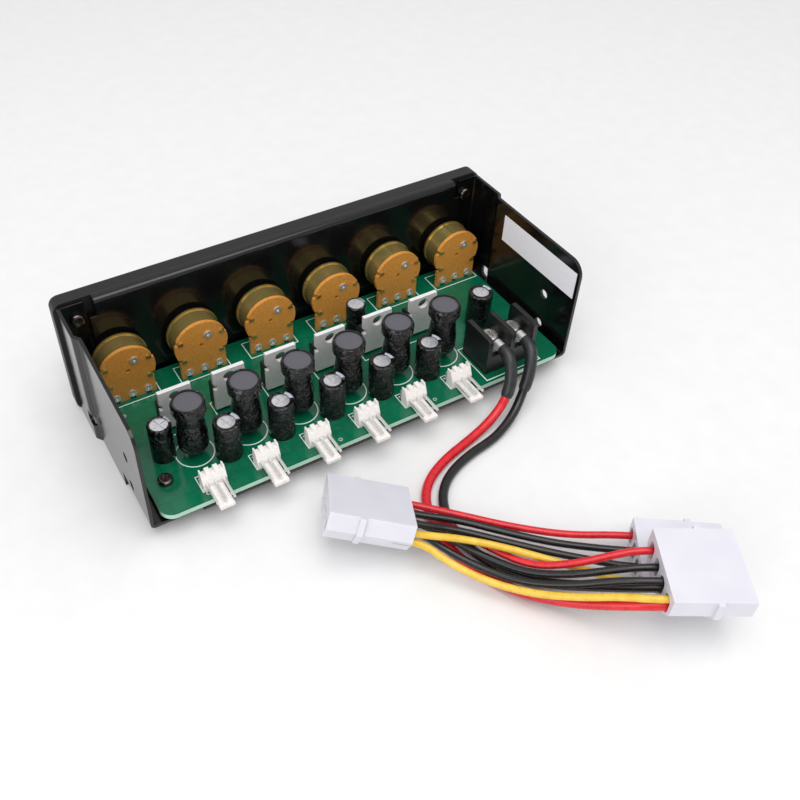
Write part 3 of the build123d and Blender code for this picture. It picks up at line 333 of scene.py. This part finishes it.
def rings_along(path, radius_at):
    """Mesh of closed rings round a line; radius_at gives the radius at a share of its length."""
    shell = bmesh.new()
    travelled = [0.0]
    for a, b in zip(path, path[1:]):
        travelled.append(travelled[-1] + (b - a).length)
    rings = []
    for i, centre in enumerate(path):
        forward = (path[min(i + 1, len(path) - 1)] - path[max(i - 1, 0)]).normalized()
        side = forward.cross(Vector((0, 0, 1))).normalized()
        up = side.cross(forward)
        radius = radius_at(travelled[i] / travelled[-1])
        ring = []
        for k in range(sleeve_sides):
            angle = 2 * math.pi * k / sleeve_sides
            outward = side * math.cos(angle) + up * math.sin(angle)
            ring.append(shell.verts.new(centre + outward * radius))
        rings.append(ring)
    for near, far in zip(rings, rings[1:]):
        for k in range(sleeve_sides):
            shell.faces.new((near[k - 1], near[k], far[k], far[k - 1]))
    shell.faces.new(rings[0])
    shell.faces.new(reversed(rings[-1]))
    bmesh.ops.recalc_face_normals(shell, faces=shell.faces)
    return shell


def sleeve_radius(share):
    """Swollen over the crimp near the lug, drawn in onto the lead at the far end."""
    crimp = 1.0 + crimp_swell * math.exp(-((share - crimp_share) / crimp_spread) ** 2)
    drawn_in = 1.0 - taper_depth * max(0.0, (share - taper_start) / taper_share) ** 2
    return sleeve_d * mm / 2 * min(crimp * drawn_in, widest_swell)


def add_piece(name, shell):
    """Turns a bmesh into a smooth piece that rides on the unit."""
    mesh = bpy.data.meshes.new(name)
    shell.to_mesh(mesh)
    shell.free()
    mesh.shade_smooth()
    mesh.set_sharp_from_angle(angle=math.radians(40))
    piece = bpy.data.objects.new(name, mesh)
    bpy.context.scene.collection.objects.link(piece)
    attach(piece, "unit")
    return piece


sleeves = {}
for lead, length in sleeve_length.items():
    covered = [cord_paths[lead][0]]
    for point in cord_paths[lead][1:]:
        if (point - covered[0]).length < length * mm:
            covered.append(point)
        else:
            break
    node = lead.replace("lead", "lead_sleeve")
    sleeves[lead] = add_piece(f"{node}_tube", rings_along(covered, sleeve_radius))
    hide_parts(node)
print("sleeves", [piece.name for piece in sleeves.values()])

print("declared", len(cords))

# %% [markdown]
# ## Ink on the board
#
# A board like this carries outlines of its parts in thin white ink, and a few bare tinned rings
# where a track changes sides. Ink could be a pattern in the lacquer's material, but its lines must
# sit exactly round the parts, so each one is a very thin ribbon laid on the board's face. Its place
# comes from the box of the row of parts that it goes round.

# %% Rows of parts and ribbons of ink
board_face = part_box("circuit_board")[1].z / mm
ink_height = 0.05
ink_sunk = 0.01


def row_of(node, half_width, count=6):
    """X of each of a row's equal parts from the row's box, the first one at +X, in millimetres."""
    low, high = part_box(node)
    first = high.x / mm - half_width
    step = (first - low.x / mm - half_width) / (count - 1)
    return [first - step * i for i in range(count)]


def circle(centre, radius, sides):
    """Points of a circle on the board."""
    turns = [2 * math.pi * k / sides for k in range(sides)]
    return [(centre[0] + radius * math.cos(t), centre[1] + radius * math.sin(t)) for t in turns]


def rectangle(x, y, half_width, half_depth):
    """Corners of a rectangle on the board."""
    signs = [(1, -1), (1, 1), (-1, 1), (-1, -1)]
    return [(x + half_width * a, y + half_depth * b) for a, b in signs]


def lay_ribbon(shell, line, width):
    """A closed ribbon of even width along points on the board, a hair proud of its face."""
    sections = []
    for i, here in enumerate(line):
        run_in = (Vector(here) - Vector(line[i - 1])).normalized()
        run_out = (Vector(line[(i + 1) % len(line)]) - Vector(here)).normalized()
        along = (run_in + run_out).normalized()
        across = Vector((-along.y, along.x)) * width / 2 / along.dot(run_out)
        section = []
        for side, level in ((1, -ink_sunk), (-1, -ink_sunk), (-1, ink_height), (1, ink_height)):
            spot = Vector(here) + across * side
            section.append(shell.verts.new(Vector((spot.x, spot.y, board_face + level)) * mm))
        sections.append(section)
    for i, far in enumerate(sections):
        near = sections[i - 1]
        for k in range(4):
            shell.faces.new((near[k - 1], near[k], far[k], far[k - 1]))
    bmesh.ops.recalc_face_normals(shell, faces=shell.faces)


# %% Outlines and rings
bold_line = 0.34
block_line = 0.32
plain_line = 0.28
header_line = 0.26
mark_line = 0.2
choke_ring, choke_ring_sides = 5.6, 56
tab_half, tab_margin, tab_setback, tab_depth = 5.0, 0.3, 1.4, 3.4
header_half, header_margin, header_depth = 3.6, 0.15, 3.0
mark_inset, mark_setback, mark_radius, mark_sides = 0.7, 1.9, 0.22, 3
plate_half, plate_inset, plate_setback, plate_depth = 8.6, 0.3, 2.1, 3.9
block_half, block_setback, block_depth = 10.3, 0.6, 8.0
via_radius, via_sides = 0.5, 20
via_spots = [
    (-47.4, -2.6),
    (-45.1, 2.6),
    (-40.6, 11.2),
    (64.2, -4.4),
    (54.0, 34.6),
    (12.5, 35.2),
    (-20.6, 35.0),
]

ink = bmesh.new()
choke_low, choke_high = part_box("choke_sleeves")
choke_half = (choke_high.y - choke_low.y) / 2 / mm
choke_y = (choke_high.y + choke_low.y) / 2 / mm
choke_x = row_of("choke_sleeves", choke_half)
for x in choke_x:
    lay_ribbon(ink, circle((x, choke_y), choke_ring, choke_ring_sides), bold_line)
tab_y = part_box("transistor_tabs")[1].y / mm
for x in row_of("transistor_tabs", tab_half):
    outline = rectangle(x, tab_y - tab_setback, tab_half + tab_margin, tab_depth)
    lay_ribbon(ink, outline, plain_line)
header_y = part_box("fan_headers")[0].y / mm
for x in row_of("fan_headers", header_half):
    lay_ribbon(ink, rectangle(x, header_y, header_half + header_margin, header_depth), header_line)
    mark = (x + header_half - mark_inset, header_y - mark_setback)
    lay_ribbon(ink, circle(mark, mark_radius, mark_sides), mark_line)
plate_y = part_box("pot_plates")[1].y / mm
for x in row_of("pot_plates", plate_half):
    outline = rectangle(x, plate_y - plate_setback, plate_half - plate_inset, plate_depth)
    lay_ribbon(ink, outline, plain_line)
block_low, block_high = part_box("terminal_block")
block_x = (block_low.x + block_high.x) / 2 / mm
block_y = (block_low.y + block_high.y) / 2 / mm
lay_ribbon(ink, rectangle(block_x, block_y + block_setback, block_half, block_depth), block_line)
ink_lines = add_piece("board_ink", ink)

vias = bmesh.new()
for spot in via_spots:
    lay_ribbon(vias, circle(spot, via_radius, via_sides), bold_line)
via_rings = add_piece("board_vias", vias)
print("ink", len(ink_lines.data.polygons), "faces, rings", len(via_rings.data.polygons))

# %% [markdown]
# ## Stripes on the capacitors
#
# The film on each capacitor has a pale stripe down the side of its negative lead, and the film
# folds over the rim with it. A painted mask would need the film unwrapped, so the stripe is a thin
# curved strip that follows the film's own profile up the side and over the rim.

# %% Stripes
rim_radius = 0.6
opening_d = 5.2
capacitor_d = 8.0
capacitor_height = 13.0
capacitor_aside, capacitor_behind = 8.6, 5.0
corner_capacitor = (-52.8, 11.8)
side_capacitor = (59.5, 15.8)
side_capacitor_d = 7.0
rear_capacitor = (-13.2, -0.5)
rear_capacitor_d = 6.4
rear_capacitor_height = 15.2
stripe_skin = 0.03
stripe_foot = 0.6
rim_margin = 1.2
opening_gap = 0.05
rim_steps = 6
stripe_facing = math.radians(196)
stripe_half = math.radians(26)
stripe_steps = 8


def wrap_stripe(shell, centre, diameter, height):
    """A strip on one capacitor's film, from the foot up the side and over the rim."""
    radius = diameter / 2
    profile = [(radius, stripe_foot, 1.0, 0.0)]
    for k in range(rim_steps + 1):
        turn = math.pi / 2 * k / rim_steps
        out, up = math.cos(turn), math.sin(turn)
        profile.append((radius - rim_radius * (1 - out), height - rim_radius * (1 - up), out, up))
    opening = min(opening_d, diameter - rim_margin) / 2 + opening_gap
    profile.append((opening, height, 0.0, 1.0))
    loop = [(r + stripe_skin * out, z + stripe_skin * up) for r, z, out, up in profile]
    loop += [(r - stripe_skin * out, z - stripe_skin * up) for r, z, out, up in reversed(profile)]
    sections = []
    for j in range(stripe_steps + 1):
        turn = stripe_facing + stripe_half * (2 * j / stripe_steps - 1)
        section = []
        for r, z in loop:
            spot = (centre[0] + r * math.cos(turn), centre[1] + r * math.sin(turn), board_face + z)
            section.append(shell.verts.new(Vector(spot) * mm))
        sections.append(section)
    for near, far in zip(sections, sections[1:]):
        for k in range(len(loop)):
            shell.faces.new((near[k - 1], near[k], far[k], far[k - 1]))
    shell.faces.new(sections[0])
    shell.faces.new(reversed(sections[-1]))
    bmesh.ops.recalc_face_normals(shell, faces=shell.faces)


stripes = bmesh.new()
for x in choke_x[:-1]:
    beside = (x - capacitor_aside, choke_y + capacitor_behind)
    wrap_stripe(stripes, beside, capacitor_d, capacitor_height)
wrap_stripe(stripes, corner_capacitor, capacitor_d, capacitor_height)
wrap_stripe(stripes, side_capacitor, side_capacitor_d, capacitor_height)
wrap_stripe(stripes, rear_capacitor, rear_capacitor_d, rear_capacitor_height)
film_stripes = add_piece("film_stripes", stripes)
print("stripes", len(film_stripes.data.polygons), "faces")

# %% [markdown]
# ## Tools for the finishes
#
# Colours are read off the object as screen values, so one function turns them into the linear
# light that a shader works in. A second small function adds any node with its settings and links,
# so a finish reads as a short list. Patterns are given in millimetres: a noise of scale 1000 / s
# has grains about s millimetres wide, because the frame is in metres.

# %% Colour and node helpers
def hex_colour(code):
    """Linear RGBA of an sRGB hex code."""
    channels = [int(code[i : i + 2], 16) / 255 for i in (1, 3, 5)]
    linear = [c / 12.92 if c <= 0.04045 else ((c + 0.055) / 1.055) ** 2.4 for c in channels]
    return (*linear, 1.0)


def add_node(material, kind, settings=None, links=None):
    """Adds a node: a setting is an input's value or a property, a link is an input's source."""
    node = material.node_tree.nodes.new(kind)
    for name, value in (settings or {}).items():
        if name in node.inputs:
            node.inputs[name].default_value = value
        else:
            setattr(node, name, value)
    for name, source in (links or {}).items():
        material.node_tree.links.new(source, node.inputs[name])
    return node


def start_finish(name, **shader_settings):
    """A material with its shader, its output and the coordinates of the object, in metres."""
    material = bpy.data.materials.new(name)
    material.use_nodes = True
    material.node_tree.nodes.clear()
    shader = add_node(material, "ShaderNodeBsdfPrincipled", shader_settings)
    add_node(material, "ShaderNodeOutputMaterial", links={"Surface": shader.outputs["BSDF"]})
    place = add_node(material, "ShaderNodeTexCoord").outputs["Object"]
    return material, shader, place


tone_stops = (0.32, 0.68)
noise_low, noise_high = 0.3, 0.7


def mottle(material, shader, place, grain, tones, gloss, relief, edge=0.0):
    """Tone, gloss and relief of one grain size from one noise; edge rounds the corners softly."""
    noise = add_node(
        material, "ShaderNodeTexNoise",
        {"Scale": 1 / (grain * mm), "Detail": 4.0, "Roughness": 0.55}, {"Vector": place},
    )
    tone = add_node(material, "ShaderNodeValToRGB", links={"Fac": noise.outputs["Fac"]})
    for stop, (share, code) in zip(tone.color_ramp.elements, zip(tone_stops, tones)):
        stop.position = share
        stop.color = hex_colour(code)
    rough = add_node(
        material, "ShaderNodeMapRange",
        {"From Min": noise_low, "From Max": noise_high, "To Min": gloss[0], "To Max": gloss[1]},
        {"Value": noise.outputs["Fac"]},
    )
    bump = add_node(
        material, "ShaderNodeBump", {"Strength": 1.0, "Distance": relief * mm},
        {"Height": noise.outputs["Fac"]},
    )
    if edge:
        rounded = add_node(material, "ShaderNodeBevel", {"samples": 4, "Radius": edge * mm})
        material.node_tree.links.new(rounded.outputs["Normal"], bump.inputs["Normal"])
    links = material.node_tree.links
    links.new(tone.outputs["Color"], shader.inputs["Base Color"])
    links.new(rough.outputs["Result"], shader.inputs["Roughness"])
    links.new(bump.outputs["Normal"], shader.inputs["Normal"])
    return noise


finishes = {}

# %% [markdown]
# ## Painted, blackened and moulded black
#
# Most of the object is black, and only the gloss tells its pieces apart. The tray is folded steel
# under a smooth baked paint, so it mirrors the cans and the board softly. The face plate and the
# knobs are moulded and matte, the terminal block and the transistor bodies have the dull skin of a
# filled resin, and the screws are blackened steel.

# %% Black finishes
def satin_black_paint():
    """Baked paint on sheet steel: near black, with a wide soft mirror and a faint orange peel."""
    material, shader, place = start_finish("satin_black_paint", Metallic=0.0, IOR=1.5)
    mottle(material, shader, place, 0.9, ("#0A0A0B", "#0F0F10"), (0.12, 0.18), 0.003, edge=0.35)
    return material


def moulded_black(name, grain, tones, gloss, relief, edge):
    """Black plastic from a mould: the grain of the tool breaks its gloss into a dull sheen."""
    material, shader, place = start_finish(name, Metallic=0.0, IOR=1.5)
    mottle(material, shader, place, grain, tones, gloss, relief, edge)
    return material


def blackened_steel():
    """Black oxide on a screw: a dark metal with a small sharp glint."""
    material, shader, place = start_finish("blackened_steel", Metallic=1.0)
    mottle(material, shader, place, 0.6, ("#544C4A", "#746A66"), (0.16, 0.28), 0.006, edge=0.15)
    return material


finishes["black_steel"] = satin_black_paint()
finishes["panel_black"] = moulded_black(
    "matte_face_plate", 0.5, ("#0C0C0D", "#131314"), (0.42, 0.52), 0.012, 0.4
)
finishes["knob_black"] = moulded_black(
    "knob_abs", 0.4, ("#0F0F10", "#171718"), (0.46, 0.58), 0.01, 0.3
)
finishes["epoxy_black"] = moulded_black(
    "moulded_epoxy", 0.25, ("#141517", "#1E1F22"), (0.42, 0.56), 0.01, 0.2
)
finishes["block_black"] = moulded_black(
    "block_thermoset", 0.6, ("#0D0E0F", "#17181A"), (0.3, 0.42), 0.01, 0.25
)
finishes["screw_black"] = blackened_steel()
print("black finishes", len(finishes))

# %% [markdown]
# ## Heat-shrink and ferrite
#
# Each choke is a wound drum in a black heat-shrink tube that has drawn in at the waist and shines
# like wet rubber, with small creases. A disc of dark grey ferrite shows in its open top. The
# capacitors wear the same kind of film.

# %% Shrink film and ferrite
def shrink_film():
    """Shrunk polyolefin film: black and glossy, with shallow creases a few millimetres apart."""
    material, shader, place = start_finish("shrink_film", Metallic=0.0, IOR=1.5)
    noise = mottle(material, shader, place, 2.6, ("#09090A", "#0E0E10"), (0.07, 0.13), 0.9)
    noise.inputs["Detail"].default_value = 2.0
    noise.inputs["Distortion"].default_value = 0.8
    return material


def ferrite():
    """Pressed and fired ferrite: dull dark grey, fine-grained, with a slight violet cast."""
    material, shader, place = start_finish("ferrite", Metallic=0.0, IOR=1.6)
    mottle(material, shader, place, 0.35, ("#47454C", "#5C5A62"), (0.5, 0.65), 0.012)
    return material


def sleeve_rubber():
    """Heat-shrink over the crimps: dark grey and duller than the film on the chokes."""
    material, shader, place = start_finish("sleeve_rubber", Metallic=0.0, IOR=1.5)
    mottle(material, shader, place, 1.2, ("#17181A", "#26282B"), (0.32, 0.45), 0.03)
    return material


finishes["shrink_black"] = shrink_film()
finishes["ferrite"] = ferrite()
finishes["sleeve_grey"] = sleeve_rubber()
print("finishes", len(finishes))

# %% [markdown]
# ## Metals
#
# The pots' cans are steel with a yellow zinc passivate, whose thin film drifts from olive through
# gold to pink. The transistors' tabs are dull tin plate, brushed across by handling. The capacitors
# end in bright drawn aluminium, and pins, lugs and eyelets are tinned. A metal takes its colour in
# the mirror, so only its roughness and a slight drift of tone are set.

# %% Metal finishes
def yellow_passivate():
    """Yellow zinc passivate: a mirror that drifts between olive, gold and pink."""
    material, shader, place = start_finish("yellow_passivate", Metallic=0.8)
    noise = mottle(material, shader, place, 5.0, ("#B7AC66", "#E2BE74"), (0.07, 0.13), 0.003)
    tone = next(n for n in material.node_tree.nodes if n.type == "VALTORGB")
    blush = tone.color_ramp.elements.new(0.78)
    blush.color = hex_colour("#E2B49E")
    noise.inputs["Distortion"].default_value = 0.6
    return material


def plated(name, grain, tones, gloss, relief, metallic=1.0):
    """Plated or drawn metal: a pale mirror, blurred by its grain, or dulled to a grey skin."""
    material, shader, place = start_finish(name, Metallic=metallic)
    mottle(material, shader, place, grain, tones, gloss, relief, edge=0.12)
    return material


finishes["zinc_yellow"] = yellow_passivate()
finishes["tab_metal"] = plated(
    "tin_tab", 1.2, ("#E8E5E6", "#F3F1F1"), (0.36, 0.48), 0.01, 0.25
)
finishes["can_aluminium"] = plated(
    "drawn_aluminium", 0.8, ("#DDDCE0", "#F0EFF2"), (0.3, 0.42), 0.02, 0.8
)
finishes["tinned_metal"] = plated(
    "tin_plate", 0.5, ("#D6D5D3", "#EAE9E7"), (0.26, 0.38), 0.006, 0.7
)
finishes["bright_steel"] = plated(
    "bright_zinc", 0.8, ("#B8B6B0", "#D0CEC8"), (0.22, 0.34), 0.006
)
finishes["shaft_aluminium"] = plated(
    "turned_aluminium", 0.3, ("#C6C6C8", "#DADADC"), (0.25, 0.35), 0.01
)
print("finishes", len(finishes))

# %% [markdown]
# ## Board, plates and plastics
#
# The board is glass laminate under a green lacquer, so its faces are green and glossy and its cut
# edge shows the pale laminate. Copper under the lacquer shows as slightly lighter fields with faint
# gaps, drawn here with a brick pattern of about the size of real tracks. The pots' plates are paper
# phenolic, the plugs are milky nylon that light enters, and the headers are a denser white nylon.

# %% Board
def lacquered_board():
    """Green solder lacquer over copper fields, with the pale cut edge of the laminate."""
    material, shader, place = start_finish(
        "lacquered_board", Metallic=0.0, IOR=1.5, **{"Coat Weight": 0.12}
    )
    noise = mottle(material, shader, place, 6.0, ("#055E42", "#076C4B"), (0.12, 0.2), 0.004)
    tone = next(n for n in material.node_tree.nodes if n.type == "VALTORGB")
    tracks = add_node(
        material, "ShaderNodeTexBrick",
        {"Scale": 1.0, "Mortar Size": 0.25 * mm, "Mortar Smooth": 0.2, "Brick Width": 13.0 * mm,
         "Row Height": 4.6 * mm, "offset": 0.37, "offset_frequency": 3, "squash": 0.6,
         "squash_frequency": 2, "Mortar": hex_colour("#055E43")},
        {"Vector": place, "Color1": tone.outputs["Color"], "Color2": tone.outputs["Color"]},
    )
    facing = add_node(material, "ShaderNodeNewGeometry").outputs["Normal"]
    upright = add_node(material, "ShaderNodeSeparateXYZ", links={"Vector": facing})
    flat = add_node(
        material, "ShaderNodeMath", {"operation": "ABSOLUTE"}, {"Value": upright.outputs["Z"]}
    )
    cut = add_node(material, "ShaderNodeValToRGB", links={"Fac": flat.outputs["Value"]})
    cut.color_ramp.elements[0].position = 0.4
    cut.color_ramp.elements[1].position = 0.6
    face = add_node(
        material, "ShaderNodeMixRGB", {"Color1": hex_colour("#A9CDB8")},
        {"Fac": cut.outputs["Color"], "Color2": tracks.outputs["Color"]},
    )
    material.node_tree.links.new(face.outputs["Color"], shader.inputs["Base Color"])
    noise.inputs["Detail"].default_value = 2.0
    return material


finishes["board_green"] = lacquered_board()


# %% Plates, plastics and label
def paper_phenolic():
    """Punched paper phenolic: warm brown with short darker fibres and a waxy sheen."""
    material, shader, place = start_finish("paper_phenolic", Metallic=0.0, IOR=1.55)
    mottle(material, shader, place, 0.7, ("#C98536", "#DE9C49"), (0.26, 0.36), 0.012, edge=0.15)
    return material


def milky_nylon():
    """Unfilled nylon: light enters it, so it is smooth and near white, with a cool cast."""
    material, shader, place = start_finish(
        "milky_nylon", Metallic=0.0, IOR=1.53,
        **{"Subsurface Weight": 0.3, "Subsurface Radius": (1.0, 1.0, 1.1),
           "Subsurface Scale": 1.0 * mm},
    )
    noise = mottle(material, shader, place, 9.0, ("#D6D5DE", "#DAD9E1"), (0.28, 0.34), 0.002)
    noise.inputs["Detail"].default_value = 1.0
    return material


def white_nylon():
    """Denser white nylon of the headers, warmer than the plugs."""
    material, shader, place = start_finish(
        "white_nylon", Metallic=0.0, IOR=1.53,
        **{"Subsurface Weight": 0.3, "Subsurface Radius": (1.0, 0.9, 0.7),
           "Subsurface Scale": 1.0 * mm},
    )
    mottle(material, shader, place, 1.0, ("#E6E1DD", "#F1EDEA"), (0.34, 0.46), 0.004, edge=0.2)
    return material


def coated_paper():
    """Blank self-adhesive label: white coated paper with a faint tooth."""
    material, shader, place = start_finish("coated_paper", Metallic=0.0, IOR=1.45)
    mottle(material, shader, place, 0.3, ("#ECEBF2", "#F6F5FA"), (0.4, 0.5), 0.004)
    return material


def screen_ink(name, tones):
    """Screen-printed ink: a thin flat skin of colour with the faint tooth of the mesh."""
    material, shader, place = start_finish(name, Metallic=0.0, IOR=1.48)
    mottle(material, shader, place, 0.4, tones, (0.44, 0.56), 0.003)
    return material


def soft_pvc(name, tones):
    """Extruded PVC insulation: even colour, a long highlight and slight waviness."""
    material, shader, place = start_finish(name, Metallic=0.0, IOR=1.53)
    mottle(material, shader, place, 2.5, tones, (0.24, 0.34), 0.03)
    return material


finishes["phenolic"] = paper_phenolic()
finishes["nylon"] = milky_nylon()
finishes["header_white"] = white_nylon()
finishes["spacer_nylon"] = white_nylon()
finishes["label_white"] = coated_paper()
finishes["pvc_red"] = soft_pvc("red_pvc", ("#C4121F", "#DA1C2A"))
finishes["pvc_black"] = soft_pvc("black_pvc", ("#0C0C0E", "#141416"))
finishes["pvc_yellow"] = soft_pvc("yellow_pvc", ("#D8AE2C", "#E8C24A"))
print("finishes", sorted(finishes))

# %% Put the finishes on
for subpart in frame["record"]["subparts"]:
    node = nodes[subpart["node"]]
    node.data.materials.clear()
    node.data.materials.append(finishes[subpart["material_slot"]])
    if subpart["node"] in cords:
        cords[subpart["node"]].data.materials.append(finishes[subpart["material_slot"]])
for piece in sleeves.values():
    piece.data.materials.append(finishes["sleeve_grey"])
ink_lines.data.materials.append(screen_ink("white_ink", ("#DDE6DF", "#EDF3EE")))
film_stripes.data.materials.append(screen_ink("stripe_ink", ("#A9ADBA", "#C0C3CE")))
via_rings.data.materials.append(finishes["tinned_metal"])

# %% [markdown]
# ## Table and light
#
# A studio photograph like this is lit by wide soft boxes over a pale table, so shadows are faint
# and black gloss shows long pale reflections. A wide box overhead gives the main light, a second
# one from the camera's left opens the shadows, and a pale sky fills the rest.

# %% Table
table_mesh = bpy.data.meshes.new("table")
reach = 4.0
level = cad_box[0].z
table_mesh.from_pydata(
    [(x * reach, y * reach, level) for x, y in ((-1, -1), (1, -1), (1, 1), (-1, 1))],
    [],
    [(0, 1, 2, 3)],
)
table = bpy.data.objects.new("table", table_mesh)
bpy.context.scene.collection.objects.link(table)
table_paint, table_shader, table_place = start_finish("table_paint", Metallic=0.0, IOR=1.45)
mottle(table_paint, table_shader, table_place, 8.0, ("#E4E4E4", "#E7E7E7"), (0.55, 0.6), 0.002)
table_mesh.materials.append(table_paint)


# %% Light
def soft_box(name, place, aim, size, power):
    """A square soft box at place, turned to aim, in metres and watts."""
    light = bpy.data.lights.new(name, "AREA")
    light.shape = "SQUARE"
    light.size = size
    light.energy = power
    box = bpy.data.objects.new(name, light)
    bpy.context.scene.collection.objects.link(box)
    box.location = place
    box.rotation_euler = (Vector(aim) - Vector(place)).to_track_quat("-Z", "Y").to_euler()


soft_box("overhead_box", (0.05, 0.25, 0.9), (0, 0.03, 0), 0.8, 5.8)
soft_box("left_box", (0.9, 0.5, 0.5), (0, 0.03, 0.02), 0.6, 3.0)
sky = bpy.data.worlds.new("sky")
sky.use_nodes = True
background = sky.node_tree.nodes["Background"]
background.inputs["Color"].default_value = hex_colour("#FFFFFF")
background.inputs["Strength"].default_value = 0.66
bpy.context.scene.world = sky
